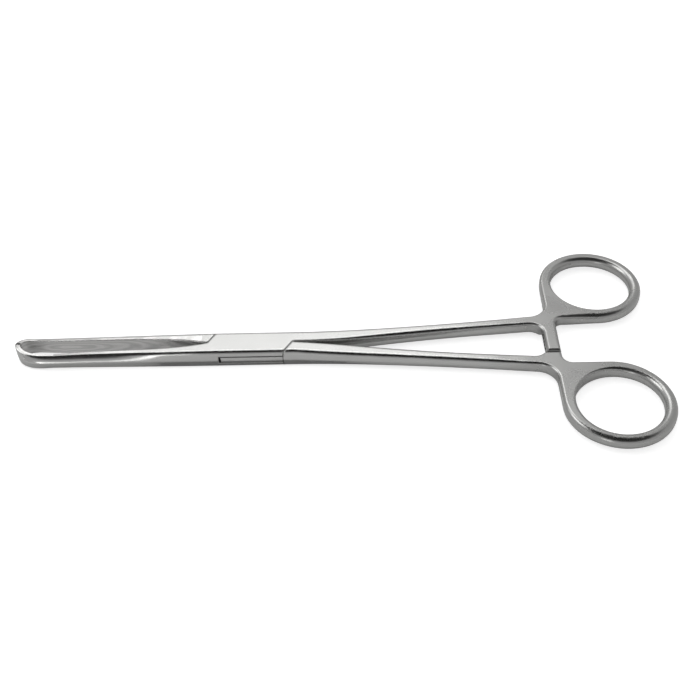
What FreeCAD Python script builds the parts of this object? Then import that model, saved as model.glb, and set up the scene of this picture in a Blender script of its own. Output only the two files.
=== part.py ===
"""Allis tissue forceps, 200 mm pattern: two forged halves joined by a box lock and one riveted pin.

Frame: +X from the lock towards the finger rings, +Y across the forceps, +Z up.
The origin is where the pin's axis meets the flat underside of the lock.
Each half is built about the mid-plane of its thickness and then raised by half the lock's thickness.
The box half has its jaw on -Y and its shank and ring on +Y. The tongue half is the other way round.
"""
import FreeCAD, Part
import math
import os
import Sketcher

DOCUMENT_NAME = "AllisForceps"
SHEET_NAME = "Dims"

DIMENSIONS = [
    ("lock_width", 9.8, "width of the box lock across the forceps"),
    ("lock_thickness", 6.2, "thickness of the box lock from underside to top"),
    ("lock_round", 1.1, "rounding of the long edges of the lock"),
    ("lock_ridge", 0.14, "how far the forged parting ridge stands out of the lock's sides"),
    ("jaw_seam_outer", 11.4, "distance from the pin to the box's seam at the jaws, at the lock's side"),
    ("jaw_seam_inner", 14.1, "the same at the middle line, where the jaws part"),
    ("shank_seam_outer", 9.8, "distance from the pin to the box's seam at the shanks, at the lock's side"),
    ("shank_seam_inner", 12.7, "the same at the middle line"),
    ("window_seam_outer", 10.2, "distance from the pin to the ends of the window, at the lock's side"),
    ("window_seam_inner", 13.2, "the same at the middle line, where the shanks part"),
    ("seam_gap", 0.12, "gap of a seam, measured along the forceps"),
    ("window_gap", 0.6, "gap between the tongue's corners and the ends of its window"),
    ("middle_gap", 0.2, "gap between the halves where the lock ends"),
    ("tongue_thickness", 2.1, "thickness of the tongue in the box"),
    ("tongue_clearance", 0.06, "clearance above and below the tongue"),
    ("pin_diameter", 3.2, "diameter of the pivot pin"),
    ("pin_clearance", 0.03, "radial running clearance of the pin in the tongue"),
    ("pin_head_diameter", 4.0, "diameter of the riveted pin's head in its countersink"),
    ("pin_head_depth", 0.5, "depth of the countersink"),
    ("shank_neck_x", 26.0, "place of the neck of the shank"),
    ("shank_neck_inner", 0.85, "inner edge at the neck"),
    ("shank_neck_outer", 5.7, "outer edge at the neck"),
    ("shank_neck_thickness", 5.1, "thickness at the neck"),
    ("shank_mid_x", 43.0, "place of the first station of the slim shank"),
    ("shank_mid_inner", 2.6, "inner edge there"),
    ("shank_mid_outer", 6.95, "outer edge there"),
    ("shank_mid_thickness", 4.5, "thickness there"),
    ("shank_slim_x", 63.0, "place of the second station of the slim shank"),
    ("shank_slim_inner", 4.85, "inner edge there"),
    ("shank_slim_outer", 8.7, "outer edge there"),
    ("shank_slim_thickness", 4.2, "thickness there"),
    ("shank_round", 1.05, "rounding of the shank's edges"),
    ("shank_neck_round", 0.5, "rounding of the inner edges at the neck"),
    ("shank_root_round", 0.25, "rounding of the inner edges where the lock ends"),
    ("shank_ridge", 0.13, "how far the parting ridge stands out of the shank's sides"),
    ("hand_lead", 7.0, "length of the shank's end that is of one piece with the hand end, up to the ratchet"),
    ("hand_inner", 6.9, "inner edge where that piece starts"),
    ("hand_outer", 10.7, "outer edge there"),
    ("hand_ridge", 0.01, "how far the parting ridge stands out there"),
    ("hand_thickness", 4.1, "thickness of the ring, tang and ratchet"),
    ("hand_round", 0.9, "rounding of the edges of tang and ratchet"),
    ("ring_round", 1.6, "rounding of the ring's edges, away from the tang"),
    ("ring_root_round", 0.5, "rounding of the hole's edges at the tang"),
    ("ring_x", 109.85, "distance from the pin to the finger rings' centres along the forceps"),
    ("ring_y", 26.7, "distance from the middle line to a ring's centre"),
    ("ring_hole_diameter", 25.7, "inner diameter of a finger ring"),
    ("ring_bar", 3.6, "radial thickness of the ring's bar"),
    ("heel_round", 6.0, "radius of the hollow corner between shank and ring"),
    ("ring_corner_round", 3.0, "radius of the hollow corner between ring and ratchet bar"),
    ("ratchet_corner_round", 4.0, "radius of the hollow corner between ratchet bar and shank"),
    ("ratchet_setback", 18.35, "distance from the ring's centre back to the lock's side of the ratchet bar"),
    ("ratchet_width", 4.3, "width of the ratchet bar along the forceps"),
    ("ratchet_reach", 5.2, "how far the ratchet bar reaches over the middle line"),
    ("ratchet_root", 6.3, "distance from the middle line where the ratchet bar reaches full thickness"),
    ("tooth_pitch", 1.6, "pitch of the ratchet teeth"),
    ("tooth_count", 5, "number of ratchet teeth on each bar"),
    ("tooth_height", 0.8, "height of the ratchet teeth"),
    ("tooth_clearance", 0.12, "clearance between the crests of the two ratchet bars"),
    ("jaw_root_hollow", 0.02, "depth of the hollow in the jaw's inner face where the lock ends"),
    ("jaw_neck_x", 27.0, "distance from the pin to the jaw's neck"),
    ("box_neck_outer", 4.8, "outer edge of the box half's jaw at its neck"),
    ("tongue_neck_outer", 4.6, "outer edge of the tongue half's jaw at its neck"),
    ("jaw_neck_width", 2.75, "width of the jaw at its neck"),
    ("jaw_neck_thickness", 6.0, "thickness of the jaw at its neck"),
    ("jaw_neck_round", 0.75, "rounding of the jaw's outer edges at its neck"),
    ("jaw_neck_ridge", 0.2, "crown of the jaw's outer face at its neck"),
    ("jaw_neck_hollow", 0.27, "depth of the hollow in the jaw's inner face at its neck"),
    ("jaw_mid_x", 44.0, "distance from the pin to the middle of the blade"),
    ("box_mid_outer", 4.75, "outer edge of the box half's blade there"),
    ("tongue_mid_outer", 4.4, "outer edge of the tongue half's blade there"),
    ("jaw_mid_width", 2.05, "width of the blade there"),
    ("jaw_mid_thickness", 5.7, "thickness of the blade there"),
    ("jaw_mid_round", 0.56, "rounding of the blade's outer edges there"),
    ("box_blade_outer", 4.95, "outer edge of the box half's blade where its hook starts"),
    ("tongue_blade_outer", 4.3, "outer edge of the tongue half's blade where its hook starts"),
    ("blade_width", 1.6, "width of the blade there"),
    ("blade_thickness", 5.0, "thickness of the blade there"),
    ("blade_round", 0.45, "rounding of the blade's outer edges"),
    ("blade_inner_bevel", 0.15, "bevel of the blade's inner edges"),
    ("blade_ridge", 0.3, "crown of the blade's outer face"),
    ("blade_hollow", 0.45, "depth of the hollow ground in the blade's inner face"),
    ("tip_x", 75.4, "distance from the pin to the ends of the tips"),
    ("tip_width", 1.75, "thickness of the hooked tip, along the forceps"),
    ("tip_thickness", 6.2, "width of the toothed edge of the tip"),
    ("box_hook_length", 9.2, "length over which the box half's tip curves in"),
    ("tongue_hook_length", 4.6, "length over which the tongue half's tip curves in"),
    ("bite_offset", 1.2, "distance of the bite line from the middle line, towards the tongue half's jaw"),
    ("bite_tooth_height", 0.8, "height of the teeth of the bite"),
    ("bite_tooth_count", 6, "number of teeth on the tongue half's tip, one more than on the other"),
    ("bite_gap", 0.1, "gap of the closed bite, measured across the forceps"),
]

BOX_SEAMS = ("jaw", "shank")
WINDOW_SEAMS = ("window", "window")
CUT_MARGIN = 1.0
HOOK_LEAD = 0.45
HOOK_ANGLES = (0, 22.5, 45, 67.5, 90)
HOOK_FADE = 0.7
TANG_ANGLES = (180, 270)
RING_BLEND = 75


class Size:
    """A size as a number and as the spreadsheet expression that gives it."""

    def __init__(self, value, text=None):
        self.value = float(value)
        self.text = text if text is not None else repr(float(value))

    def _with(self, other, value, sign):
        other = as_size(other)
        return Size(value(self.value, other.value), f"({self.text} {sign} {other.text})")

    def __add__(self, other):
        return self._with(other, lambda a, b: a + b, "+")

    def __sub__(self, other):
        return self._with(other, lambda a, b: a - b, "-")

    def __mul__(self, other):
        return self._with(other, lambda a, b: a * b, "*")

    def __truediv__(self, other):
        return self._with(other, lambda a, b: a / b, "/")

    def __neg__(self):
        return self * -1

    def __radd__(self, other):
        return as_size(other) + self

    def __rsub__(self, other):
        return as_size(other) - self

    def __rmul__(self, other):
        return as_size(other) * self


def as_size(value):
    return value if isinstance(value, Size) else Size(value)


def write_sheet(doc):
    """Puts the driving dimensions into the spreadsheet and returns them as sizes by name."""
    sheet = doc.addObject("Spreadsheet::Sheet", SHEET_NAME)
    for row, (name, value, note) in enumerate(DIMENSIONS, start=1):
        sheet.set(f"A{row}", name)
        sheet.set(f"B{row}", str(value))
        sheet.set(f"C{row}", note)
        sheet.setAlias(f"B{row}", name)
    doc.recompute()
    return {name: Size(getattr(sheet, name), f"{SHEET_NAME}.{name}") for name, _, _ in DIMENSIONS}


def origin_plane(body, role):
    return next(item for item in body.Origin.OriginFeatures if item.Role == role)


def add_sketch(body, name, role, height=None, across=None, turn=None):
    """An empty sketch on one of the body's origin planes, moved along its normal and in it, and turned."""
    sketch = body.newObject("Sketcher::SketchObject", name)
    sketch.AttachmentSupport = [(origin_plane(body, role), "")]
    sketch.MapMode = "FlatFace"
    if turn is not None:
        upright = FreeCAD.Vector(0, 1, 0)
        sketch.AttachmentOffset = FreeCAD.Placement(FreeCAD.Vector(), FreeCAD.Rotation(upright, 1))
        sketch.setExpression("AttachmentOffset.Rotation.Angle", turn.text)
    if height is not None:
        sketch.setExpression("AttachmentOffset.Base.z", height.text)
    if across is not None:
        sketch.setExpression("AttachmentOffset.Base.x", across.text)
    return sketch


def bind_coordinate(sketch, kind, edge, end, size):
    index = sketch.addConstraint(Sketcher.Constraint(kind, -1, 1, edge, end, size.value))
    sketch.setExpression(f"Constraints[{index}]", size.text)


def bind_point(sketch, edge, end, point):
    """Fixes one end of an edge, or its centre, at a point given by two sizes."""
    bind_coordinate(sketch, "DistanceX", edge, end, point[0])
    bind_coordinate(sketch, "DistanceY", edge, end, point[1])


def vector(point):
    return FreeCAD.Vector(point[0].value, point[1].value, 0)


def arc_between(start, end, centre_x):
    """The anticlockwise arc from start to end whose centre has the given first coordinate."""
    middle, chord = (start + end) * 0.5, end - start
    normal = FreeCAD.Vector(-chord.y, chord.x, 0)
    centre = middle + normal * ((centre_x - middle.x) / normal.x)
    angles = [math.atan2((point - centre).y, (point - centre).x) for point in (start, end)]
    if angles[1] < angles[0]:
        angles[1] += 2 * math.pi
    circle = Part.Circle(centre, FreeCAD.Vector(0, 0, 1), (start - centre).Length)
    return Part.ArcOfCircle(circle, angles[0], angles[1])


def draw_outline(sketch, points, arcs=None, clockwise=()):
    """A closed outline through the points.

    arcs gives the first coordinate of the centre for each edge that is round, by its number.
    Those edges run anticlockwise, or clockwise where their number is in clockwise.
    """
    arcs = arcs or {}
    count = len(points)
    edges = []
    ends = []
    for index in range(count):
        start, end = vector(points[index]), vector(points[(index + 1) % count])
        if index not in arcs:
            curve = Part.LineSegment(start, end)
        elif index in clockwise:
            curve = arc_between(end, start, arcs[index].value)
        else:
            curve = arc_between(start, end, arcs[index].value)
        edges.append(sketch.addGeometry(curve, False))
        ends.append((2, 1) if index in clockwise else (1, 2))
    for index, edge in enumerate(edges):
        following = (index + 1) % count
        sketch.addConstraint(Sketcher.Constraint(
            "Coincident", edge, ends[index][1], edges[following], ends[following][0]))
        bind_point(sketch, edge, ends[index][0], points[index])
        if index in arcs:
            bind_coordinate(sketch, "DistanceX", edge, 3, arcs[index])


def draw_circle(sketch, centre, radius):
    """A circle whose centre and radius follow their sizes."""
    edge = sketch.addGeometry(Part.Circle(vector(centre), FreeCAD.Vector(0, 0, 1), radius.value), False)
    bind_point(sketch, edge, 3, centre)
    bound = sketch.addConstraint(Sketcher.Constraint("Radius", edge, radius.value))
    sketch.setExpression(f"Constraints[{bound}]", radius.text)


def symmetric(body, kind, name, sketch, length):
    """A pad or pocket to both sides of its sketch, length in all."""
    feature = body.newObject(kind, name)
    feature.Profile = sketch
    feature.SideType = "Symmetric"
    feature.setExpression("Length", length.text)
    return feature


def one_sided(body, kind, name, sketch, length, reverse):
    """A pad or pocket to one side of its sketch."""
    feature = body.newObject(kind, name)
    feature.Profile = sketch
    feature.Reversed = reverse
    feature.setExpression("Length", length.text)
    return feature


def loft(body, name, sections):
    """A smooth body through the sections, in their order."""
    feature = body.newObject("PartDesign::AdditiveLoft", name)
    feature.Profile = sections[0]
    feature.Sections = sections[1:]
    feature.Ruled = False
    return feature


def fillet(doc, body, name, radius, wanted):
    """Rounds the edges of the body's tip that the test picks out."""
    doc.recompute()
    base = body.Tip
    picked = [f"Edge{number}" for number, edge in enumerate(base.Shape.Edges, start=1) if wanted(edge)]
    feature = body.newObject("PartDesign::Fillet", name)
    feature.Base = (base, picked)
    feature.setExpression("Radius", radius.text)
    return feature


def draw_bar_section(sketch, side, width, thickness, outer_round, inner_round, ridge, hollow=None):
    """Half of the forceps' bar across its length, from its outer ridge at zero inwards.

    The outer face is two flats that meet at the parting ridge. The inner face is the same,
    or where hollow is given, one hollow-ground arc between two bevels.
    """
    half = thickness / 2
    corner_out = [(-ridge, half - outer_round), (-(ridge + outer_round), half)]
    if hollow is None:
        corner_in = [(-(width - ridge - inner_round), half), (-(width - ridge), half - inner_round)]
        middle_in = [(-width, Size(0))]
    else:
        corner_in = [(-(width - inner_round), half), (-width, half - inner_round)]
        middle_in = []
    upper = corner_out + corner_in
    lower = [(u, -v) for u, v in reversed(upper)]
    outline = [(Size(0), Size(0))] + upper + middle_in + lower
    points = [(u * side, v) for u, v in outline]
    last = len(points)
    outer_centre = -(ridge + outer_round) * side
    arcs = {1: outer_centre, last - 2: outer_centre}
    if hollow is None:
        arcs[3] = arcs[last - 4] = -(width - ridge - inner_round) * side
    else:
        reach = half - inner_round
        radius = (reach * reach + hollow * hollow) / (hollow * 2)
        arcs[4] = (-(width - hollow) - radius) * side
    anticlockwise = {index for index in arcs if index != 4}
    draw_outline(sketch, points, arcs, clockwise={4} if side > 0 else anticlockwise)


def seam_x(dims, seam, y):
    """Distance from the pin of a seam at y, on its straight line through the middle and the lock's side."""
    inner, outer = dims[f"{seam}_seam_inner"], dims[f"{seam}_seam_outer"]
    return inner - (inner - outer) / (dims["lock_width"] / 2) * y


def ratchet_start(dims):
    """Distance from the pin to the lock's side of the ratchet bar."""
    return dims["ring_x"] - dims["ratchet_setback"]


def hand_start(dims):
    """Distance from the pin to the place where the shank runs into the hand end."""
    return ratchet_start(dims) - dims["hand_lead"]


def ring_points(dims, radius, angles):
    """Points on a circle about the finger ring's centre, by their angles from +X."""
    turns = [math.radians(degrees) for degrees in angles]
    return [(dims["ring_x"] + radius * math.cos(turn), dims["ring_y"] + radius * math.sin(turn))
            for turn in turns]


def add_hand(doc, dims, name, side):
    """Ring, tang, ratchet bar and the end of the shank, all of one thickness and with square edges."""
    body = doc.addObject("PartDesign::Body", f"{name}_hand")
    hole_radius = dims["ring_hole_diameter"] / 2
    ring_radius = hole_radius + dims["ring_bar"]
    ring_x, ring_y = dims["ring_x"], dims["ring_y"]
    hand_x, bar_left = hand_start(dims), ratchet_start(dims)
    left, bottom = ring_x - ring_radius, ring_y - ring_radius
    bar_right = bar_left + dims["ratchet_width"]
    slope = (dims["hand_outer"] - dims["shank_slim_outer"]) / (hand_x - dims["shank_slim_x"])
    ratchet_corner = (bar_left, dims["hand_inner"] + slope * (bar_left - hand_x))
    ring_corner = (bar_right, bottom)
    heel = (left, dims["hand_outer"] + slope * (left - hand_x))
    tang_top, tang_bottom = TANG_ANGLES
    free_ring = (tang_bottom + RING_BLEND, tang_top - RING_BLEND)
    outline = [
        (hand_x, dims["hand_inner"]),
        ratchet_corner,
        (bar_left, -dims["ratchet_reach"]),
        (bar_right, -dims["ratchet_reach"]),
        ring_corner,
        (ring_x, bottom),
        *ring_points(dims, ring_radius, free_ring),
        (left, ring_y),
        heel,
        (hand_x, dims["hand_outer"]),
    ]
    first_arc = outline.index((ring_x, bottom))
    hole = ring_points(dims, hole_radius, ((tang_top + tang_bottom) / 2, *free_ring))
    sketch = add_sketch(body, "HandOutline", "XY_Plane")
    for points, arcs in ((outline, range(first_arc, first_arc + 3)), (hole, range(3))):
        mirrored = [(x, y * side) for x, y in points]
        draw_outline(sketch, mirrored, {arc: ring_x for arc in arcs}, clockwise=arcs if side < 0 else ())
    symmetric(body, "PartDesign::Pad", "Hand", sketch, dims["hand_thickness"])

    hollow_corners = (
        ("Heel", heel, "heel_round"),
        ("RingCorner", ring_corner, "ring_corner_round"),
        ("RatchetCorner", ratchet_corner, "ratchet_corner_round"),
    )
    for label, corner, radius in hollow_corners:
        place = vector((corner[0], corner[1] * side))

        def is_corner(edge):
            centre = edge.CenterOfMass
            return (FreeCAD.Vector(centre.x, centre.y, 0) - place).Length < 1e-3

        fillet(doc, body, label, dims[radius], is_corner)
    return body


def rounding_at(dims, side, point):
    """Rounding of a long edge of the hand end: fullest on the free ring, least at the hole at the tang."""
    way = FreeCAD.Vector(point.x - dims["ring_x"].value, point.y * side - dims["ring_y"].value, 0)
    angle = math.degrees(math.atan2(way.y, way.x)) % 360
    hole_radius = dims["ring_hole_diameter"].value / 2
    on_hole = abs(way.Length - hole_radius) < 1e-3
    on_ring = abs(way.Length - hole_radius - dims["ring_bar"].value) < 1e-3
    tang_top, tang_bottom = TANG_ANGLES
    free = not tang_top - RING_BLEND + 1 < angle < tang_bottom + RING_BLEND - 1
    if free and (on_hole or on_ring):
        return dims["ring_round"].value
    return dims["ring_root_round"].value if on_hole else dims["hand_round"].value


def round_hand(doc, dims, name, side, hand):
    """Rounds the long edges of the hand end, with a radius that runs evenly from one corner to the next."""
    doc.recompute()
    half, start = dims["hand_thickness"].value / 2, hand_start(dims).value
    edges = []
    for number, edge in enumerate(hand.Shape.Edges, start=1):
        box = edge.BoundBox
        level = box.ZLength < 1e-6 and abs(abs(box.ZMax) - half) < 1e-6
        if level and box.XMax > start + 1e-3:
            ends = (edge.firstVertex(True).Point, edge.lastVertex(True).Point)
            edges.append((number, *(rounding_at(dims, side, point) for point in ends)))
    rounded = doc.addObject("Part::Fillet", f"{name}_rounding")
    rounded.Base = hand
    rounded.Edges = edges
    doc.recompute()
    return rounded


def add_shank(body, dims, side):
    """The shank, lofted from the hand end to the lock through five stations."""
    stations = [
        ("Hand", hand_start(dims), dims["hand_inner"], dims["hand_outer"], dims["hand_thickness"],
         dims["hand_round"], dims["hand_round"], dims["hand_ridge"]),
        ("Slim", dims["shank_slim_x"], dims["shank_slim_inner"], dims["shank_slim_outer"],
         dims["shank_slim_thickness"], dims["shank_round"], dims["shank_round"], dims["shank_ridge"]),
        ("Mid", dims["shank_mid_x"], dims["shank_mid_inner"], dims["shank_mid_outer"],
         dims["shank_mid_thickness"], dims["shank_round"], dims["shank_round"], dims["shank_ridge"]),
        ("Neck", dims["shank_neck_x"], dims["shank_neck_inner"], dims["shank_neck_outer"],
         dims["shank_neck_thickness"], dims["shank_round"], dims["shank_neck_round"], dims["shank_ridge"]),
        ("Root", dims["window_seam_inner"], dims["middle_gap"] / 2, dims["lock_width"] / 2,
         dims["lock_thickness"], dims["lock_round"], dims["shank_root_round"], dims["lock_ridge"]),
    ]
    sections = []
    for name, x, inner, outer, thickness, outer_round, inner_round, ridge in stations:
        sketch = add_sketch(body, f"Shank{name}", "YZ_Plane", height=x, across=outer * side)
        draw_bar_section(sketch, side, outer - inner, thickness, outer_round, inner_round, ridge)
        sections.append(sketch)
    loft(body, "Shank", sections)


def add_jaw(body, dims, kind, side):
    """The blade, lofted from the lock to the start of the hook, and the hook to the bite line."""
    jaw_side = -side
    hook_length = dims[f"{kind}_hook_length"]
    root_outer = dims["lock_width"] / 2
    stations = [
        ("Root", -dims["jaw_seam_inner"], root_outer, root_outer - dims["middle_gap"] / 2,
         dims["lock_thickness"], dims["lock_round"], dims["lock_ridge"], dims["jaw_root_hollow"]),
        ("Neck", -dims["jaw_neck_x"], dims[f"{kind}_neck_outer"], dims["jaw_neck_width"],
         dims["jaw_neck_thickness"], dims["jaw_neck_round"], dims["jaw_neck_ridge"], dims["jaw_neck_hollow"]),
        ("Mid", -dims["jaw_mid_x"], dims[f"{kind}_mid_outer"], dims["jaw_mid_width"],
         dims["jaw_mid_thickness"], dims["jaw_mid_round"], dims["blade_ridge"], dims["blade_hollow"]),
        ("End", hook_length * (1 + HOOK_LEAD) - dims["tip_x"], dims[f"{kind}_blade_outer"],
         dims["blade_width"], dims["blade_thickness"], dims["blade_round"], dims["blade_ridge"],
         dims["blade_hollow"]),
    ]
    sections = []
    for name, x, outer, width, thickness, outer_round, ridge, hollow in stations:
        sketch = add_sketch(body, f"Blade{name}", "YZ_Plane", height=x, across=outer * jaw_side)
        draw_bar_section(sketch, jaw_side, width, thickness, outer_round,
                         dims["blade_inner_bevel"], ridge, hollow)
        sections.append(sketch)
    loft(body, "Blade", sections)
    add_hook(body, dims, kind, jaw_side, sections[-1])


def add_hook(body, dims, kind, jaw_side, blade_end):
    """The tip, lofted round a quarter of an ellipse from the blade to the bite line, flaring in thickness."""
    hook_length = dims[f"{kind}_hook_length"]
    bite = dims["bite_offset"] * jaw_side - dims["bite_tooth_height"] / 2
    rise = dims[f"{kind}_blade_outer"] - bite
    sections = [blade_end]
    for number, degrees in enumerate(HOOK_ANGLES):
        along, across = math.sin(math.radians(degrees)), math.cos(math.radians(degrees))
        x = -(dims["tip_x"] - hook_length * (1 - along))
        outer = bite + rise * across
        lean, level = rise * along, hook_length * across
        turn = Size(math.degrees(math.atan2(lean.value, level.value)), f"atan2({lean.text}; {level.text})")
        flare = (number + 1) / len(HOOK_ANGLES)
        width = dims["blade_width"] + (dims["tip_width"] - dims["blade_width"]) * flare
        thickness = dims["blade_thickness"] + (dims["tip_thickness"] - dims["blade_thickness"]) * flare
        sketch = add_sketch(body, f"Hook{number}", "YZ_Plane", height=x, across=outer * jaw_side,
                            turn=turn * jaw_side)
        draw_bar_section(sketch, jaw_side, width, thickness, dims["blade_round"],
                         dims["blade_inner_bevel"], dims["blade_ridge"] * (1 - HOOK_FADE * flare),
                         dims["blade_hollow"] * (1 - HOOK_FADE * flare))
        sections.append(sketch)
    loft(body, "Hook", sections)


def add_bite_teeth(body, dims, kind, jaw_side):
    """Cuts the end of the tip to a row of pointed teeth that mesh with the other tip's row.

    The tongue half has one tooth more, so its row slopes away at both ends, where the box half's is level.
    """
    height, count = dims["bite_tooth_height"], int(dims["bite_tooth_count"].value)
    half = dims["tip_thickness"] / 2
    middle = dims["bite_offset"] + dims["bite_gap"] / 2 * jaw_side
    beyond = dims["bite_offset"] - (height + CUT_MARGIN) * jaw_side
    row = []
    for step in range(1, 2 * count):
        level = half * (step / count - 1)
        row.append((middle + height / 2 * (1 if step % 2 == 0 else -1), level))
    slope = height / (half / count) if jaw_side > 0 else Size(0)
    end = half + CUT_MARGIN
    end_y = row[0][0] + slope * (half / count + CUT_MARGIN)
    profile = [(beyond, -end), (end_y, -end)] + row + [(end_y, end), (beyond, end)]
    sketch = add_sketch(body, "BiteProfile", "YZ_Plane", height=-dims["tip_x"])
    draw_outline(sketch, profile)
    symmetric(body, "PartDesign::Pocket", "BiteTeeth", sketch, dims[f"{kind}_hook_length"] * 2)


def add_lock(body, dims, side, seams, gap):
    """The full bar of the lock, less the two corners where the other half's shoulders stand."""
    half = dims["lock_thickness"] / 2
    rounding, ridge = dims["lock_round"], dims["lock_ridge"]
    edge = dims["lock_width"] / 2
    upper = [(edge - ridge, half - rounding), (edge - ridge - rounding, half)]
    upper_far = [(-y, z) for y, z in reversed(upper)]
    quarter_up = [(edge, Size(0))] + upper + upper_far
    lower = [(-y, -z) for y, z in quarter_up]
    section = add_sketch(body, "LockSection", "YZ_Plane", height=-dims["jaw_seam_inner"])
    centre = edge - ridge - rounding
    draw_outline(section, quarter_up + lower, {1: centre, 3: -centre, 6: -centre, 8: centre})
    length = dims["jaw_seam_inner"] + dims["window_seam_inner"]
    one_sided(body, "PartDesign::Pad", "LockBar", section, length, False)

    middle = -(dims["middle_gap"] / 2)
    beyond = edge + CUT_MARGIN
    end = dims["jaw_seam_inner"] + CUT_MARGIN
    for name, seam, turn in (("JawShoulder", seams[0], 1), ("ShankShoulder", seams[1], -1)):
        corner = [
            (-(seam_x(dims, seam, middle) - gap), middle),
            (-(seam_x(dims, seam, beyond) - gap), beyond),
            (-end, beyond),
            (-end, middle),
        ]
        sketch = add_sketch(body, f"{name}Seam", "XY_Plane")
        draw_outline(sketch, [(x * turn, y * (turn * side)) for x, y in corner])
        symmetric(body, "PartDesign::Pocket", name, sketch, dims["lock_thickness"] * 2)


def passage(dims, side, seams):
    """Plan of the level that the other half passes through: all but the corners that carry the arms."""
    middle = -(dims["middle_gap"] / 2)
    beyond = dims["lock_width"] / 2 + CUT_MARGIN
    end = dims["jaw_seam_inner"] + CUT_MARGIN
    shift = dims["seam_gap"] / 2
    plan = []
    for seam, turn in ((seams[0], 1), (seams[1], -1)):
        half_turn = [
            (-(seam_x(dims, seam, beyond) + shift), -beyond),
            (-(seam_x(dims, seam, -middle) + shift), middle),
            (-end, middle),
            (-end, beyond),
        ]
        plan += [(x * turn, y * (turn * side)) for x, y in half_turn]
    return plan


def countersunk_profile(sketch, dims, radius):
    """Half section of the pin: a shaft that widens into a countersink at each face of the lock."""
    half = dims["lock_thickness"] / 2
    depth, head = dims["pin_head_depth"], dims["pin_head_diameter"] / 2
    points = [
        (Size(0), -half),
        (head, -half),
        (radius, -(half - depth)),
        (radius, half - depth),
        (head, half),
        (Size(0), half),
    ]
    draw_outline(sketch, points)


def revolve(body, kind, name, sketch):
    """A full turn of the sketch about its own upright axis."""
    feature = body.newObject(kind, name)
    feature.Profile = sketch
    feature.ReferenceAxis = (sketch, ["V_Axis"])
    feature.Angle = 360
    return feature


def add_ratchet_teeth(body, dims, side):
    """Takes away the other half's share of the ratchet's thickness, down to the row of teeth."""
    crest = dims["tooth_clearance"] / 2
    root = crest + dims["tooth_height"]
    pitch = dims["tooth_pitch"]
    count = int(dims["tooth_count"].value)
    far = dims["ratchet_reach"] + CUT_MARGIN
    below = -dims["hand_thickness"]
    profile = [(dims["ratchet_root"], below), (dims["ratchet_root"], root)]
    for number in range(count):
        face = pitch * ((count - 1) / 2 - number)
        profile.append((face, root))
        profile.append((face, crest))
    profile.append((pitch * (-(count - 1) / 2 - 1), root))
    profile.append((-far, root))
    profile.append((-far, below))
    sketch = add_sketch(body, "RatchetProfile", "YZ_Plane",
                        height=ratchet_start(dims) + dims["ratchet_width"] / 2)
    draw_outline(sketch, [(y * side, z * side) for y, z in profile])
    reach = dims["ratchet_corner_round"] + CUT_MARGIN
    symmetric(body, "PartDesign::Pocket", "RatchetTeeth", sketch, dims["ratchet_width"] + reach * 2)


def build_half(doc, dims, kind, side, seams, gap):
    """One forging, grown from its hand end. side is the side of its shank and ring, gap that of its seams."""
    name = f"{kind}_half"
    hand = add_hand(doc, dims, name, side)
    body = doc.addObject("PartDesign::Body", name)
    body.Label = name
    body.BaseFeature = round_hand(doc, dims, name, side, hand)
    add_shank(body, dims, side)
    add_lock(body, dims, side, seams, gap)
    add_jaw(body, dims, kind, side)
    add_ratchet_teeth(body, dims, side)
    add_bite_teeth(body, dims, kind, -side)
    body.setExpression("Placement.Base.z", (dims["lock_thickness"] / 2).text)
    return body


def open_box(body, dims, side):
    """The window through the box for the tongue, and the countersunk hole for the pin."""
    sketch = add_sketch(body, "WindowPlan", "XY_Plane")
    draw_outline(sketch, passage(dims, side, WINDOW_SEAMS))
    symmetric(body, "PartDesign::Pocket", "Window", sketch,
              dims["tongue_thickness"] + dims["tongue_clearance"] * 2)
    profile = add_sketch(body, "PinSeat", "XZ_Plane")
    countersunk_profile(profile, dims, dims["pin_diameter"] / 2)
    revolve(body, "PartDesign::Groove", "PinHole", profile)


def thin_tongue(body, dims, side):
    """Takes the box's walls off both faces of the tongue, and bores it for the pin."""
    for name, height, upwards in (("TopWall", dims["tongue_thickness"] / 2, True),
                                  ("BottomWall", -(dims["tongue_thickness"] / 2), False)):
        sketch = add_sketch(body, f"{name}Plan", "XY_Plane", height=height)
        draw_outline(sketch, passage(dims, side, BOX_SEAMS))
        one_sided(body, "PartDesign::Pocket", name, sketch, dims["lock_thickness"], upwards)
    sketch = add_sketch(body, "PinBore", "XY_Plane")
    draw_circle(sketch, (Size(0), Size(0)), dims["pin_diameter"] / 2 + dims["pin_clearance"])
    symmetric(body, "PartDesign::Pocket", "PinHole", sketch, dims["lock_thickness"] * 2)


def build_pin(doc, dims, name):
    """The pivot pin with both its riveted heads."""
    body = doc.addObject("PartDesign::Body", name)
    body.Label = name
    profile = add_sketch(body, "PinProfile", "XZ_Plane")
    countersunk_profile(profile, dims, dims["pin_diameter"] / 2)
    revolve(body, "PartDesign::Revolution", "Pin", profile)
    body.setExpression("Placement.Base.z", (dims["lock_thickness"] / 2).text)
    return body


def check_document(doc, bodies):
    """Stops with a message unless every object is up to date and each body is one valid solid."""
    for item in doc.Objects:
        if "Invalid" in item.State or "Error" in item.State:
            raise RuntimeError(f"{item.Label} failed: {item.getStatusString()}")
    for body in bodies:
        shape = body.Shape
        if shape.isNull() or not shape.isValid() or len(shape.Solids) != 1:
            raise RuntimeError(f"{body.Label} is not one valid solid")
        print(body.Label, "volume", round(shape.Volume, 2), "faces", len(shape.Faces))


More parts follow.
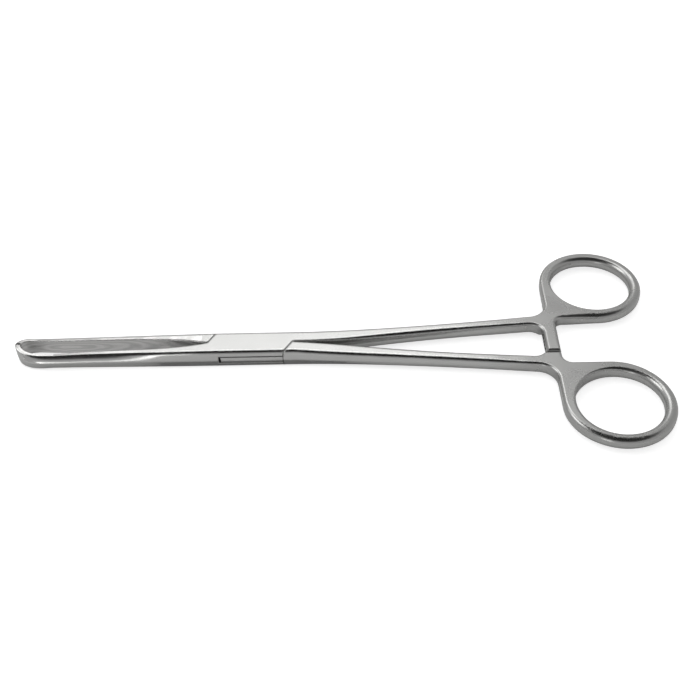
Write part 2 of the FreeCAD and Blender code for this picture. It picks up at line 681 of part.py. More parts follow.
def main():
    doc = FreeCAD.newDocument(DOCUMENT_NAME)
    dims = write_sheet(doc)
    half_gap = dims["seam_gap"] / 2
    box = build_half(doc, dims, "box", 1, BOX_SEAMS, half_gap)
    open_box(box, dims, 1)
    tongue = build_half(doc, dims, "tongue", -1, WINDOW_SEAMS, dims["window_gap"] - half_gap)
    thin_tongue(tongue, dims, -1)
    pin = build_pin(doc, dims, "lock_pin")
    doc.recompute()
    bodies = [box, tongue, pin]
    check_document(doc, bodies)
    os.makedirs("parts", exist_ok=True)
    for body in bodies:
        body.Shape.exportStep(f"parts/{body.Label}.step")


main()
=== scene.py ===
"""Dresses the tissue forceps: satin steel halves and pin on a pale floor under a soft studio light."""
import math

import bpy
from mathutils import Matrix, Vector


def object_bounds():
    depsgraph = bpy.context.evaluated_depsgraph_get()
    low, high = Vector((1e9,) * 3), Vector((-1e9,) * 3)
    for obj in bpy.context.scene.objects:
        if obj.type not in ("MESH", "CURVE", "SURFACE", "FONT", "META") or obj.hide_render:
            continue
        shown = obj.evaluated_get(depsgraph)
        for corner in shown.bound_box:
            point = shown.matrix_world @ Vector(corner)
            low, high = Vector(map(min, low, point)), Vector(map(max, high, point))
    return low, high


bl_info = {
    "name": "Tissue forceps",
    "version": (1, 0, 0),
    "blender": (4, 5, 0),
    "location": "View3D > Sidebar > Forceps",
    "description": "Finishes the forceps in satin steel and sets a plain studio round them",
    "category": "Object",
}

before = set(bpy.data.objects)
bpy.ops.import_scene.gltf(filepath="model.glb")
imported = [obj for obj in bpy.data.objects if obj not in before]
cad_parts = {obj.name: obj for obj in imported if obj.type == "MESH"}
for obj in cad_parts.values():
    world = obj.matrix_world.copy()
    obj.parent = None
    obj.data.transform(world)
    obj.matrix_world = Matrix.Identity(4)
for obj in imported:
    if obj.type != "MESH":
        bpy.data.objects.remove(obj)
CAD_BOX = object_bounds()

FLOAT = "NodeSocketFloat"
VECTOR = "NodeSocketVector"
WHITE = (1.0, 1.0, 1.0, 1.0)

# The camera: the picture's width in pixels, the sensor's in millimetres and the nearest distance seen.
PHOTO_PIXELS = 700
SENSOR_WIDTH = 36.0
CLIP_START = 0.005

# The studio: how far the softboxes stand from the lock, in metres, and how wide the dark card's rim fades.
SOFTBOX_DISTANCE = 2.0
CARD_SOFTNESS = math.radians(8)

# Places are in metres in the part's own frame: x from the pin towards the rings, y across and z up.
MID_HEIGHT = (CAD_BOX[0][2] + CAD_BOX[1][2]) / 2

# The x at which each zone's mask starts and is full. For the lock, they are distances from the pin.
JAW_ZONE = (-0.016, -0.046)
HAND_ZONE = (0.07, 0.09)
LOCK_ZONE = (0.045, 0.018)

# The range of the noise that the roughness follows, and how fine the brush lines and the unevenness are.
NOISE_SPREAD = (0.3, 0.7)
LINE_DETAIL = 3.0
LINE_ROUGHNESS = 0.6
UNEVENNESS_SCALE = 130.0
UNEVENNESS_DETAIL = 4.0

# The worn edges: the share of the edge radius that the jaws and the hand end lack, the number of rays that
# find the edges, and the distance from the pin's axis within which there are none.
JAW_EDGE_LESS = 0.75
HAND_EDGE_LESS = 1.0
BEVEL_SAMPLES = 6
PIN_SURROUND = 0.0032

# The parting ridge: its height and rounding, and what is added to the lean, in ridge slopes: above it on
# the jaws' outer sides, there again per metre of height, and below it round the lock.
RIDGE_HEIGHT = MID_HEIGHT - 0.0005
RIDGE_ROUND = 0.0004
JAW_SLOPE_EXTRA = 2.2
JAW_CURVE = 1150.0
LOCK_SLOPE_EXTRA = 5.5

# Where the added lean of the jaws' outer sides starts and is full, from the middle line, and the z of a
# face's normal at which its lean starts and is full.
OUTER_SIDE = (0.0031, 0.0036)
UPRIGHT_FACE = (0.8, 0.4)

# The jaws' flat faces: how steeply they fall away from the middle line, and the rounding along that line.
JAW_CROWN = 0.07
CROWN_ROUND = 0.0008

# The oval grinding marks and painted reflected light in the far blade's hollow, which is painted lighter in
# rings: their middle, an oval's radii and the marks within it, how far and how finely they wander, their
# mean tone and its swing, and the hollow's depth from the middle line.
CONTOUR_MIDDLE = (-0.058, 0.0015, 0.0028)
CONTOUR_RADII = (0.02, 0.02, 0.0025)
CONTOUR_COUNT = 3
CONTOUR_WANDER = 0.5
CONTOUR_WANDER_SCALE = 160.0
CONTOUR_MEAN = 0.65
CONTOUR_SWING = 0.35
HOLLOW_DEPTH = 0.0032

# The lock's seams, painted near black as painted shade in the gaps between the halves: where the lock's
# sides begin, and the window's outline on them. The slanting seams on the flat faces lean, per metre
# across, and meet the middle line at their place. Each step is added on the far side, +y, and taken off on
# the near one.
LOCK_SIDE = 0.0044
WINDOW_MIDDLE = -0.00023
WINDOW_HALF_LENGTH = 0.01003
WINDOW_HALF_HEIGHT = 0.00111
SEAM_LEAN = 0.5715
SEAM_LEAN_STEP = -0.0205
SEAM_PLACE = 0.0134
SEAM_PLACE_STEP = 0.0007


class SteelFinish(bpy.types.PropertyGroup):
    """The satin finish of the forged halves and the pin."""

    colour: bpy.props.FloatVectorProperty(
        name="Steel colour", description="Reflection colour of the stainless steel",
        subtype="COLOR", size=3, min=0, max=1, default=(0.62, 0.62, 0.61))
    dull_colour: bpy.props.FloatVectorProperty(
        name="Dull colour", description="Colour of the duller patches of the steel",
        subtype="COLOR", size=3, min=0, max=1, default=(0.56, 0.56, 0.55))
    roughness: bpy.props.FloatProperty(
        name="Roughness", description="Mean roughness of the satin finish", min=0, max=1, default=0.2)
    roughness_spread: bpy.props.FloatProperty(
        name="Roughness spread", description="How far the roughness wanders over the surface",
        min=0, max=0.5, default=0.08)
    grain_length: bpy.props.FloatProperty(
        name="Grain length", description="Length of a brush line", subtype="DISTANCE", unit="LENGTH",
        default=0.004)
    grain_width: bpy.props.FloatProperty(
        name="Grain width", description="Spacing of the brush lines", subtype="DISTANCE", unit="LENGTH",
        default=0.00016)
    grain_depth: bpy.props.FloatProperty(
        name="Grain depth", description="Depth of the brush lines", subtype="DISTANCE", unit="LENGTH",
        default=0.0000022)
    edge_radius: bpy.props.FloatProperty(
        name="Edge radius", description="How far the ground edges look rounded over", subtype="DISTANCE",
        unit="LENGTH", default=0.0009)
    ridge_slope: bpy.props.FloatProperty(
        name="Ridge slope", description="Extra slope of the side faces away from the parting ridge",
        min=0, max=0.5, default=0.08)
    hand_roughness: bpy.props.FloatProperty(
        name="Hand roughness", description="Roughness added on the rings and the ratchet",
        min=0, max=0.5, default=0.08)
    hand_colour: bpy.props.FloatVectorProperty(
        name="Hand colour", description="Colour of the duller finish on the rings and the ratchet",
        subtype="COLOR", size=3, min=0, max=1, default=(0.5, 0.5, 0.49))
    # Painted reflected light as well as grinding marks: the far blade's hollow is painted lighter, towards
    # this colour.
    hollow_marks_and_sheen_colour: bpy.props.FloatVectorProperty(
        name="Contour colour", description="Colour of the brighter grinding marks in the jaw's hollow",
        subtype="COLOR", size=3, min=0, max=1, default=(0.86, 0.85, 0.84))
    seam_shade_width: bpy.props.FloatProperty(
        name="Seam width", description="Width of the dark line along the lock's seams", subtype="DISTANCE",
        unit="LENGTH", default=0.00022)
    # Painted shade: the near black along the lock's seams stands in for the shade in the gaps between the
    # two halves.
    seam_shade_colour: bpy.props.FloatVectorProperty(
        name="Seam colour", description="Colour of the dark deposit along the seams",
        subtype="COLOR", size=3, min=0, max=1, default=(0.05, 0.05, 0.05))


class StageLook(bpy.types.PropertyGroup):
    """The floor, the backdrop level and the studio light."""

    floor_colour: bpy.props.FloatVectorProperty(
        name="Floor colour", description="Colour of the floor", subtype="COLOR", size=3, min=0, max=1,
        default=(0.62, 0.62, 0.62))
    floor_size: bpy.props.FloatProperty(
        name="Floor size", description="Width of the floor", subtype="DISTANCE", unit="LENGTH", default=6.0)
    floor_lift: bpy.props.FloatProperty(
        name="Floor lift", description="White added to the floor where the camera sees it",
        min=0, max=1, default=0.72)
    mirror_share: bpy.props.FloatProperty(
        name="Mirror share", description="Share of the lift that shows in the steel's reflections",
        subtype="FACTOR", min=0, max=1, default=0.1)
    world_level: bpy.props.FloatProperty(
        name="World level", description="Strength of the light from all round", min=0, max=2, default=0.47)
    card_level: bpy.props.FloatProperty(
        name="Card level", description="Strength of the world where the dark card hangs",
        min=0, max=2, default=0.02)
    card_elevation: bpy.props.FloatProperty(
        name="Card elevation", subtype="ANGLE", default=math.radians(74),
        description="Height of the dark card's middle over the horizon, on the -Y side")
    card_reach: bpy.props.FloatProperty(
        name="Card reach", description="Angle from the dark card's middle to its edge",
        subtype="ANGLE", default=math.radians(40))
    key_level: bpy.props.FloatProperty(
        name="Key level", description="Brightness of the large softbox behind the forceps",
        min=0, max=5, default=0.68)
    high_level: bpy.props.FloatProperty(
        name="High level", description="Brightness of the long softbox above the key",
        min=0, max=5, default=1.2)
    side_level: bpy.props.FloatProperty(
        name="Side level", description="Brightness of the softbox beside the jaws",
        min=0, max=5, default=1.6)
    front_level: bpy.props.FloatProperty(
        name="Front level", description="Brightness of the small low softbox in front of the jaws",
        min=0, max=5, default=1.9)
    top_level: bpy.props.FloatProperty(
        name="Top level", description="Brightness of the overhead light, which reflections don't show",
        min=0, max=5, default=0.85)


class CameraPlace(bpy.types.PropertyGroup):
    """Where the camera stands and how it looks."""

    elevation: bpy.props.FloatProperty(
        name="Elevation", description="Angle of the view below the horizontal", subtype="ANGLE",
        default=math.radians(43.02))
    azimuth: bpy.props.FloatProperty(
        name="Azimuth", description="Turn of the view from +Y towards +X", subtype="ANGLE",
        default=math.radians(-2.076))
    roll: bpy.props.FloatProperty(
        name="Roll", description="Turn of the camera about its own line of sight", subtype="ANGLE",
        default=math.radians(-2.476))
    distance: bpy.props.FloatProperty(
        name="Distance", description="Distance from the camera to its target", subtype="DISTANCE",
        unit="LENGTH", default=0.30708)
    target: bpy.props.FloatVectorProperty(
        name="Target", description="Point in the middle of the picture", subtype="XYZ", unit="LENGTH",
        default=(0.03075, -0.00467, 0.0062))
    focal_pixels: bpy.props.FloatProperty(
        name="Focal length", description="Focal length in pixels of the photo's picture", default=994.0)


SETTINGS = {"forceps_steel": SteelFinish, "forceps_stage": StageLook, "forceps_camera": CameraPlace}


def settings(context, name):
    """The scene's own copy of one of the property groups in SETTINGS."""
    return getattr(context.scene, name)


class Nodes:
    """Short ways to add nodes and links to one node tree, which is emptied first."""

    def __init__(self, tree):
        self.tree = tree
        self.tree.nodes.clear()

    def add(self, kind, inputs=None, **values):
        """A new node with its values set and its inputs, by name or number, fed."""
        node = self.tree.nodes.new(kind)
        for key, value in values.items():
            setattr(node, key, value)
        for key, value in (inputs or {}).items():
            self.feed(node.inputs[key], value)
        return node

    def feed(self, socket, value):
        """Links the socket to a node or another socket, or sets it to a plain value."""
        if isinstance(value, bpy.types.NodeSocket):
            self.tree.links.new(value, socket)
        elif isinstance(value, bpy.types.Node):
            self.tree.links.new(value.outputs[0], socket)
        else:
            socket.default_value = value

    def use(self, group, **inputs):
        """The outputs of a node group whose inputs are fed."""
        return self.add("ShaderNodeGroup", inputs, node_tree=group).outputs

    def maths(self, operation, *values):
        """The result of an operation on plain values or sockets, in their order."""
        return self.add("ShaderNodeMath", dict(enumerate(values)), operation=operation).outputs[0]

    def vector_maths(self, operation, *values):
        """The result of an operation on vectors: a vector, or a number for a length or a dot product."""
        node = self.add("ShaderNodeVectorMath", dict(enumerate(values)), operation=operation)
        return node.outputs["Value" if operation in ("LENGTH", "DOT_PRODUCT") else "Vector"]

    def parts(self, vector):
        """The X, Y and Z of a vector."""
        return self.add("ShaderNodeSeparateXYZ", {"Vector": vector}).outputs

    def ramp(self, value, start, end, low=0.0, high=1.0, kind="LINEAR"):
        """Goes from low to high while the value goes from start to end, and stays level past both."""
        limits = {"Value": value, "From Min": start, "From Max": end, "To Min": low, "To Max": high}
        return self.add("ShaderNodeMapRange", limits, interpolation_type=kind).outputs["Result"]

    def blend(self, kind, share, first, second):
        """The first value where the share is 0 and the second where it is 1."""
        node = self.add("ShaderNodeMix", {"Factor": share}, data_type=kind)
        for label, value in (("A", first), ("B", second)):
            sockets = [item for item in node.inputs if item.name == label and item.type == kind]
            self.feed(sockets[0], value)
        return [item for item in node.outputs if item.type == kind][0]

    def mix_colours(self, share, first, second):
        """A blend of two colours, each a socket or three plain numbers."""
        colours = [colour if isinstance(colour, bpy.types.NodeSocket) else (*colour, 1.0)
                   for colour in (first, second)]
        return self.blend("RGBA", share, *colours)

    def mix_vectors(self, share, first, second):
        """A blend of two vectors."""
        return self.blend("VECTOR", share, first, second)


def node_group(name, inputs, outputs):
    """Turns a function that lays out an effect's nodes into one that gives the effect as a node group.

    The function gets the group's Nodes and input sockets, and returns its outputs by label. It runs once,
    and the group is then shared. An input with a default is a number, and one with None is a vector.
    """
    def turn(lay_out):
        def group():
            tree = bpy.data.node_groups.get(name)
            if tree:
                return tree
            tree = bpy.data.node_groups.new(name, "ShaderNodeTree")
            for label, default in inputs.items():
                kind = VECTOR if default is None else FLOAT
                socket = tree.interface.new_socket(label, in_out="INPUT", socket_type=kind)
                if default is not None:
                    socket.default_value = default
            for label, kind in outputs.items():
                tree.interface.new_socket(label, in_out="OUTPUT", socket_type=kind)
            nodes = Nodes(tree)
            start = nodes.add("NodeGroupInput")
            nodes.add("NodeGroupOutput", lay_out(nodes, start.outputs))
            return tree
        return group
    return turn


@node_group("Brushed grain", {"Vector": None, "Length": 0.004, "Width": 0.0002},
            {"Height": FLOAT, "Unevenness": FLOAT})
def brushed_grain(nodes, given):
    """Fine brush lines: noise stretched along x. The unevenness is a slow noise of its own."""
    along = nodes.maths("DIVIDE", 1.0, given["Length"])
    across = nodes.maths("DIVIDE", 1.0, given["Width"])
    scale = nodes.add("ShaderNodeCombineXYZ", {"X": along, "Y": across, "Z": across})
    stretched = nodes.vector_maths("MULTIPLY", given["Vector"], scale)
    lines = nodes.add("ShaderNodeTexNoise", {
        "Vector": stretched, "Scale": 1.0, "Detail": LINE_DETAIL, "Roughness": LINE_ROUGHNESS})
    slow = nodes.add("ShaderNodeTexNoise", {
        "Vector": given["Vector"], "Scale": UNEVENNESS_SCALE, "Detail": UNEVENNESS_DETAIL})
    return {"Height": lines.outputs["Fac"], "Unevenness": slow.outputs["Fac"]}


@node_group("Zones", {"Vector": None}, {"Jaws": FLOAT, "Hands": FLOAT, "Lock": FLOAT})
def forceps_zones(nodes, given):
    """Masks along the forceps: 1 on the jaws, on the hand end and round the lock, and 0 away from each."""
    along = nodes.parts(given["Vector"])["X"]
    from_pin = nodes.maths("ABSOLUTE", along)
    spans = {"Jaws": (along, JAW_ZONE), "Hands": (along, HAND_ZONE), "Lock": (from_pin, LOCK_ZONE)}
    return {label: nodes.ramp(value, *zone, kind="SMOOTHSTEP") for label, (value, zone) in spans.items()}


@node_group("Worn edges", {"Vector": None, "Radius": 0.0005}, {"Normal": VECTOR})
def worn_edges(nodes, given):
    """Rounded-over edges: the normal averaged over a small radius, smaller on the jaws and the hand end.

    Round the pin, which is ground flush, the true normal stays.
    """
    zones = nodes.use(forceps_zones(), Vector=given["Vector"])
    share = nodes.maths("MULTIPLY_ADD", zones["Jaws"], -JAW_EDGE_LESS, 1.0)
    share = nodes.maths("MULTIPLY_ADD", zones["Hands"], -HAND_EDGE_LESS, share)
    radius = nodes.maths("MULTIPLY", given["Radius"], share)
    rounded = nodes.add("ShaderNodeBevel", {"Radius": radius}, samples=BEVEL_SAMPLES)
    true = nodes.add("ShaderNodeNewGeometry")
    level = nodes.vector_maths("MULTIPLY", given["Vector"], (1.0, 1.0, 0.0))
    from_axis = nodes.vector_maths("LENGTH", level)
    beyond = nodes.maths("GREATER_THAN", from_axis, PIN_SURROUND)
    return {"Normal": nodes.mix_vectors(beyond, true.outputs["Normal"], rounded.outputs["Normal"])}


@node_group("Parting ridge", {"Vector": None, "Normal": None, "Slope": 0.1}, {"Normal": VECTOR})
def parting_ridge(nodes, given):
    """Side faces that lean away above and below the forging's parting line, and crowned jaws.

    Both are bumps whose height falls off evenly, from the ridge upwards and downwards and from the middle
    line outwards, with the tops rounded. The upper lean is stronger on the outer sides of the jaws, and the
    lower one round the lock. Only upright faces lean, and only the jaws are crowned.
    """
    place = nodes.parts(given["Vector"])
    zones = nodes.use(forceps_zones(), Vector=given["Vector"])

    rise = nodes.maths("SUBTRACT", place["Z"], RIDGE_HEIGHT)
    above = nodes.maths("SMOOTH_MAX", rise, 0.0, RIDGE_ROUND)
    below = nodes.maths("SMOOTH_MAX", nodes.maths("MULTIPLY", rise, -1.0), 0.0, RIDGE_ROUND)
    outer = nodes.ramp(nodes.maths("ABSOLUTE", place["Y"]), *OUTER_SIDE)
    steeper = nodes.maths("MULTIPLY_ADD", above, JAW_CURVE, JAW_SLOPE_EXTRA)
    extra = nodes.maths("MULTIPLY", steeper, outer)
    upper = nodes.maths("MULTIPLY_ADD", zones["Jaws"], extra, 1.0)
    lower = nodes.maths("MULTIPLY_ADD", zones["Lock"], LOCK_SLOPE_EXTRA, 1.0)
    fall = nodes.maths("ADD", nodes.maths("MULTIPLY", above, upper), nodes.maths("MULTIPLY", below, lower))
    height = nodes.maths("MULTIPLY", nodes.maths("MULTIPLY", fall, -1.0), given["Slope"])

    square = nodes.maths("MULTIPLY_ADD", place["Y"], place["Y"], CROWN_ROUND ** 2)
    slope = nodes.maths("MULTIPLY", nodes.maths("SQRT", square), -JAW_CROWN)
    crown = nodes.maths("MULTIPLY", slope, zones["Jaws"])

    crowned = nodes.add("ShaderNodeBump", {
        "Height": crown, "Strength": 1.0, "Distance": 1.0, "Normal": given["Normal"]})
    leaning = nodes.add("ShaderNodeBump", {
        "Height": height, "Strength": 1.0, "Distance": 1.0, "Normal": crowned})
    facing = nodes.parts(nodes.add("ShaderNodeNewGeometry").outputs["Normal"])
    upright = nodes.ramp(nodes.maths("ABSOLUTE", facing["Z"]), *UPRIGHT_FACE)
    return {"Normal": nodes.mix_vectors(upright, crowned.outputs["Normal"], leaning.outputs["Normal"])}


@node_group("Hollow marks and painted sheen", {"Vector": None}, {"Tone": FLOAT})
def hollow_marks_and_sheen(nodes, given):
    """Oval grinding marks and painted reflected light in the far blade's hollow: a lighter tone in rings,
    from a sine of the distance from their middle.
    """
    place = nodes.parts(given["Vector"])
    moved = nodes.vector_maths("SUBTRACT", given["Vector"], CONTOUR_MIDDLE)
    reach = nodes.vector_maths("LENGTH", nodes.vector_maths("DIVIDE", moved, CONTOUR_RADII))
    wander = nodes.add("ShaderNodeTexNoise", {"Vector": given["Vector"], "Scale": CONTOUR_WANDER_SCALE})
    phase = nodes.maths("MULTIPLY_ADD", wander.outputs["Fac"], CONTOUR_WANDER, reach)
    wave = nodes.maths("SINE", nodes.maths("MULTIPLY", phase, CONTOUR_COUNT * math.tau))
    lit = nodes.maths("MULTIPLY_ADD", wave, CONTOUR_SWING, CONTOUR_MEAN)
    past_middle = nodes.maths("GREATER_THAN", place["Y"], 0.0)
    within = nodes.maths("LESS_THAN", place["Y"], HOLLOW_DEPTH)
    on_jaw = nodes.maths("LESS_THAN", place["X"], JAW_ZONE[0])
    in_hollow = nodes.maths("MULTIPLY", nodes.maths("MULTIPLY", past_middle, within), on_jaw)
    return {"Tone": nodes.maths("MULTIPLY", lit, in_hollow)}


@node_group("Lock seam shade", {"Vector": None, "Width": 0.0002}, {"Mask": FLOAT})
def lock_seam_shade(nodes, given):
    """Mask of the painted shade in the lock's seams between the halves: the window's outline on the sides
    and the slanting seams on the flat faces.

    The lock turned half round about its pin is the same, but for a small step in the slanting seams, so x
    is taken with the sign turned on the far side. The mask falls from 1 on a seam to 0 at its width.
    """
    place = nodes.parts(given["Vector"])
    side = nodes.maths("SIGN", place["Y"])
    along = nodes.maths("MULTIPLY", place["X"], nodes.maths("MULTIPLY", side, -1.0))
    across = nodes.maths("ABSOLUTE", place["Y"])
    height = nodes.maths("ABSOLUTE", nodes.maths("SUBTRACT", place["Z"], MID_HEIGHT))
    on_side = nodes.maths("GREATER_THAN", across, LOCK_SIDE)
    on_face = nodes.maths("GREATER_THAN", height, WINDOW_HALF_HEIGHT)

    from_middle = nodes.maths("ABSOLUTE", nodes.maths("SUBTRACT", along, WINDOW_MIDDLE))
    past_end = nodes.maths("SUBTRACT", from_middle, WINDOW_HALF_LENGTH)
    past_top = nodes.maths("SUBTRACT", height, WINDOW_HALF_HEIGHT)
    outline = nodes.maths("ABSOLUTE", nodes.maths("MAXIMUM", past_end, past_top))

    lean = nodes.maths("MULTIPLY_ADD", side, SEAM_LEAN_STEP, SEAM_LEAN)
    start = nodes.maths("MULTIPLY_ADD", side, SEAM_PLACE_STEP, SEAM_PLACE)
    leaned = nodes.maths("ADD", along, nodes.maths("MULTIPLY", across, lean))
    slant = nodes.maths("ABSOLUTE", nodes.maths("SUBTRACT", leaned, start))

    # A line's distance is put 1 metre further off on faces that don't carry it.
    side_line = nodes.maths("ADD", outline, nodes.maths("SUBTRACT", 1.0, on_side))
    face_line = nodes.maths("ADD", slant, nodes.maths("SUBTRACT", 1.0, on_face))
    nearest = nodes.maths("MINIMUM", side_line, face_line)
    return {"Mask": nodes.ramp(nearest, 0.0, given["Width"], 1.0, 0.0)}


def satin_steel(name, finish):
    """Satin stainless steel: a metal whose roughness wanders, with fine brush lines in its surface."""
    material = bpy.data.materials.new(name)
    material.use_nodes = True
    nodes = Nodes(material.node_tree)
    place = nodes.add("ShaderNodeTexCoord").outputs["Object"]
    grain = nodes.use(brushed_grain(), Vector=place, Length=finish.grain_length, Width=finish.grain_width)
    zones = nodes.use(forceps_zones(), Vector=place)
    contours = nodes.use(hollow_marks_and_sheen(), Vector=place)
    seams = nodes.use(lock_seam_shade(), Vector=place, Width=finish.seam_shade_width)
    edges = nodes.use(worn_edges(), Vector=place, Radius=finish.edge_radius)
    ridge = nodes.use(parting_ridge(), Vector=place, Normal=edges["Normal"], Slope=finish.ridge_slope)

    patchy = nodes.mix_colours(grain["Unevenness"], finish.dull_colour, finish.colour)
    handled = nodes.mix_colours(zones["Hands"], patchy, finish.hand_colour)
    # The far blade's hollow is painted lighter in oval rings: grinding marks and painted reflected light.
    ground = nodes.mix_colours(contours["Tone"], handled, finish.hollow_marks_and_sheen_colour)
    # Painted shade: the lock's seams are painted near black where the gaps between the halves fall in
    # shade.
    colour = nodes.mix_colours(seams["Mask"], ground, finish.seam_shade_colour)

    low = finish.roughness - finish.roughness_spread / 2
    wandering = nodes.ramp(grain["Unevenness"], *NOISE_SPREAD, low, low + finish.roughness_spread)
    roughness = nodes.maths("MULTIPLY_ADD", zones["Hands"], finish.hand_roughness, wandering)

    brushed = nodes.add("ShaderNodeBump", {
        "Height": grain["Height"], "Strength": 1.0, "Distance": finish.grain_depth,
        "Normal": ridge["Normal"]})
    shader = nodes.add("ShaderNodeBsdfPrincipled", {
        "Base Color": colour, "Metallic": 1.0, "Roughness": roughness, "Normal": brushed})
    nodes.add("ShaderNodeOutputMaterial", {"Surface": shader})
    return material


def dress(node_name, material):
    """Gives every material slot of a CAD node's object the finished material."""
    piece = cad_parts[node_name]
    for slot in piece.material_slots:
        slot.link = "OBJECT"
        slot.material = material


def floor_material(look):
    """A pale matt floor that the camera sees as white, with the object's shadow kept."""
    material = bpy.data.materials.new("Pale floor")
    material.use_nodes = True
    nodes = Nodes(material.node_tree)
    matt = nodes.add("ShaderNodeBsdfDiffuse", {"Color": (*look.floor_colour, 1.0)})
    path = nodes.add("ShaderNodeLightPath")
    mirrored = nodes.maths("MULTIPLY", path.outputs["Is Glossy Ray"], look.mirror_share)
    seen = nodes.maths("MAXIMUM", path.outputs["Is Camera Ray"], mirrored)
    lift = nodes.maths("MULTIPLY", seen, look.floor_lift)
    white = nodes.add("ShaderNodeEmission", {"Color": WHITE, "Strength": lift})
    both = nodes.add("ShaderNodeAddShader", {0: matt, 1: white})
    nodes.add("ShaderNodeOutputMaterial", {"Surface": both})
    return material


def add_floor(look):
    """The square floor that the forceps lie on."""
    half = look.floor_size / 2
    corners = [(-half, -half, 0), (half, -half, 0), (half, half, 0), (-half, half, 0)]
    mesh = bpy.data.meshes.new("floor")
    mesh.from_pydata(corners, [], [(0, 1, 2, 3)])
    floor = bpy.data.objects.new("floor", mesh)
    bpy.context.scene.collection.objects.link(floor)
    mesh.materials.append(floor_material(look))


def add_softbox(name, level, azimuth, elevation, width, height, mirrored=True):
    """A soft rectangular lamp of even brightness that faces the lock.

    The azimuth runs from +Y towards +X, and width and height are angles as the lock sees them, in degrees.
    A flat lamp's power is its brightness times four times its area.
    """
    lamp = bpy.data.lights.new(name, "AREA")
    lamp.shape = "RECTANGLE"
    lamp.size = 2 * SOFTBOX_DISTANCE * math.tan(math.radians(width) / 2)
    lamp.size_y = 2 * SOFTBOX_DISTANCE * math.tan(math.radians(height) / 2)
    lamp.energy = level * 4 * lamp.size * lamp.size_y
    light = bpy.data.objects.new(name, lamp)
    bpy.context.scene.collection.objects.link(light)
    turn, rise = math.radians(azimuth), math.radians(elevation)
    way = Vector((math.sin(turn) * math.cos(rise), math.cos(turn) * math.cos(rise), math.sin(rise)))
    light.location = way * SOFTBOX_DISTANCE
    light.rotation_euler = way.to_track_quat("Z", "Y").to_euler()
    light.visible_glossy = mirrored


def set_world(look):
    """Even light from all round, a dark card overhead on the -Y side, and a white backdrop."""
    world = bpy.data.worlds.new("Studio")
    bpy.context.scene.world = world
    world.use_nodes = True
    nodes = Nodes(world.node_tree)
    way = nodes.add("ShaderNodeTexCoord").outputs["Generated"]
    card_way = (0, -math.cos(look.card_elevation), math.sin(look.card_elevation))
    nearness = nodes.vector_maths("DOT_PRODUCT", way, card_way)
    rim, edge = math.cos(look.card_reach + CARD_SOFTNESS), math.cos(look.card_reach)
    level = nodes.ramp(nearness, rim, edge, look.world_level, look.card_level, kind="SMOOTHSTEP")
    room = nodes.add("ShaderNodeBackground", {"Color": WHITE, "Strength": level})
    backdrop = nodes.add("ShaderNodeBackground", {"Color": WHITE, "Strength": 1.0})
    path = nodes.add("ShaderNodeLightPath")
    chosen = nodes.add("ShaderNodeMixShader", {0: path.outputs["Is Camera Ray"], 1: room, 2: backdrop})
    nodes.add("ShaderNodeOutputWorld", {"Surface": chosen})


def add_camera(place):
    """The camera: its line of sight from azimuth and elevation, turned by the roll about that line."""
    rise, turn = place.elevation, place.azimuth
    forward = Vector((math.sin(turn) * math.cos(rise), math.cos(turn) * math.cos(rise), -math.sin(rise)))
    level = Vector((math.cos(turn), -math.sin(turn), 0))
    upright = level.cross(forward)
    right = level * math.cos(place.roll) + upright * math.sin(place.roll)
    up = upright * math.cos(place.roll) - level * math.sin(place.roll)
    lens = bpy.data.cameras.new("photo_camera")
    lens.sensor_fit = "HORIZONTAL"
    lens.sensor_width = SENSOR_WIDTH
    lens.lens = place.focal_pixels / PHOTO_PIXELS * SENSOR_WIDTH
    lens.clip_start = CLIP_START
    camera = bpy.data.objects.new("photo_camera", lens)
    bpy.context.scene.collection.objects.link(camera)
    turned = Matrix((right, up, -forward)).transposed().to_4x4()
    camera.matrix_world = Matrix.Translation(Vector(place.target) - forward * place.distance) @ turned
    bpy.context.scene.camera = camera


class FORCEPS_OT_dress_halves(bpy.types.Operator):
    """Finishes the two forged halves in satin steel"""

    bl_idname = "forceps.dress_halves"
    bl_label = "Finish the halves"

    def execute(self, context):
        steel = satin_steel("Forged steel", settings(context, "forceps_steel"))
        for name in ("box_half", "tongue_half"):
            dress(name, steel)
        return {"FINISHED"}


class FORCEPS_OT_dress_pin(bpy.types.Operator):
    """Finishes the riveted pin, ground flush with the lock"""

    bl_idname = "forceps.dress_pin"
    bl_label = "Finish the pin"

    def execute(self, context):
        dress("lock_pin", satin_steel("Pin steel", settings(context, "forceps_steel")))
        return {"FINISHED"}


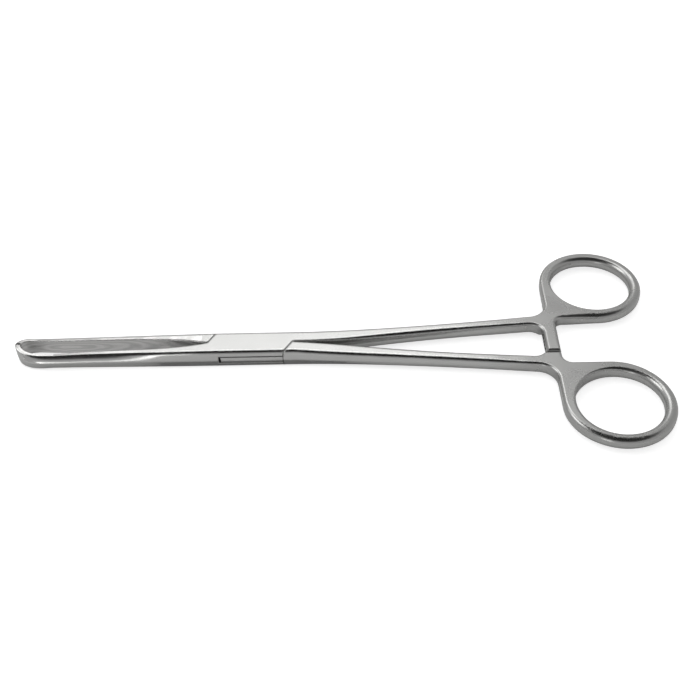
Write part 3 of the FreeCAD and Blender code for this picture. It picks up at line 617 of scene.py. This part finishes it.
class FORCEPS_OT_set_stage(bpy.types.Operator):
    """Adds the floor, the studio light and the camera"""

    bl_idname = "forceps.set_stage"
    bl_label = "Set the stage"

    def execute(self, context):
        look = settings(context, "forceps_stage")
        context.scene.view_settings.view_transform = "Standard"
        add_floor(look)
        add_softbox("key_softbox", look.key_level, azimuth=-7, elevation=45, width=27, height=24)
        add_softbox("high_softbox", look.high_level, azimuth=-9, elevation=57, width=32, height=15)
        add_softbox("side_softbox", look.side_level, azimuth=-80, elevation=45, width=30, height=30)
        add_softbox("front_softbox", look.front_level, azimuth=-156, elevation=9, width=12, height=11)
        add_softbox("top_light", look.top_level, azimuth=0, elevation=90, width=60, height=60,
                    mirrored=False)
        set_world(look)
        add_camera(settings(context, "forceps_camera"))
        return {"FINISHED"}


class FORCEPS_PT_panel(bpy.types.Panel):
    """Lists the finish, the stage and the camera, with the steps that use them"""

    bl_idname = "FORCEPS_PT_panel"
    bl_label = "Forceps"
    bl_space_type = "VIEW_3D"
    bl_region_type = "UI"
    bl_category = "Forceps"

    def draw(self, context):
        for name, group in SETTINGS.items():
            box = self.layout.box()
            for label in group.__annotations__:
                box.prop(settings(context, name), label)
        for operator in OPERATORS:
            self.layout.operator(operator.bl_idname)


OPERATORS = (FORCEPS_OT_dress_halves, FORCEPS_OT_dress_pin, FORCEPS_OT_set_stage)
CLASSES = (*SETTINGS.values(), *OPERATORS, FORCEPS_PT_panel)


def register():
    """Adds the classes to Blender and the settings to its scenes."""
    for item in CLASSES:
        bpy.utils.register_class(item)
    for name, group in SETTINGS.items():
        setattr(bpy.types.Scene, name, bpy.props.PointerProperty(type=group))


def unregister():
    """Takes the settings and the classes away again."""
    for name in SETTINGS:
        delattr(bpy.types.Scene, name)
    for item in reversed(CLASSES):
        bpy.utils.unregister_class(item)


def main():
    """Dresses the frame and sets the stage."""
    register()
    bpy.ops.forceps.dress_halves()
    bpy.ops.forceps.dress_pin()
    bpy.ops.forceps.set_stage()


if __name__ == "__main__":
    main()
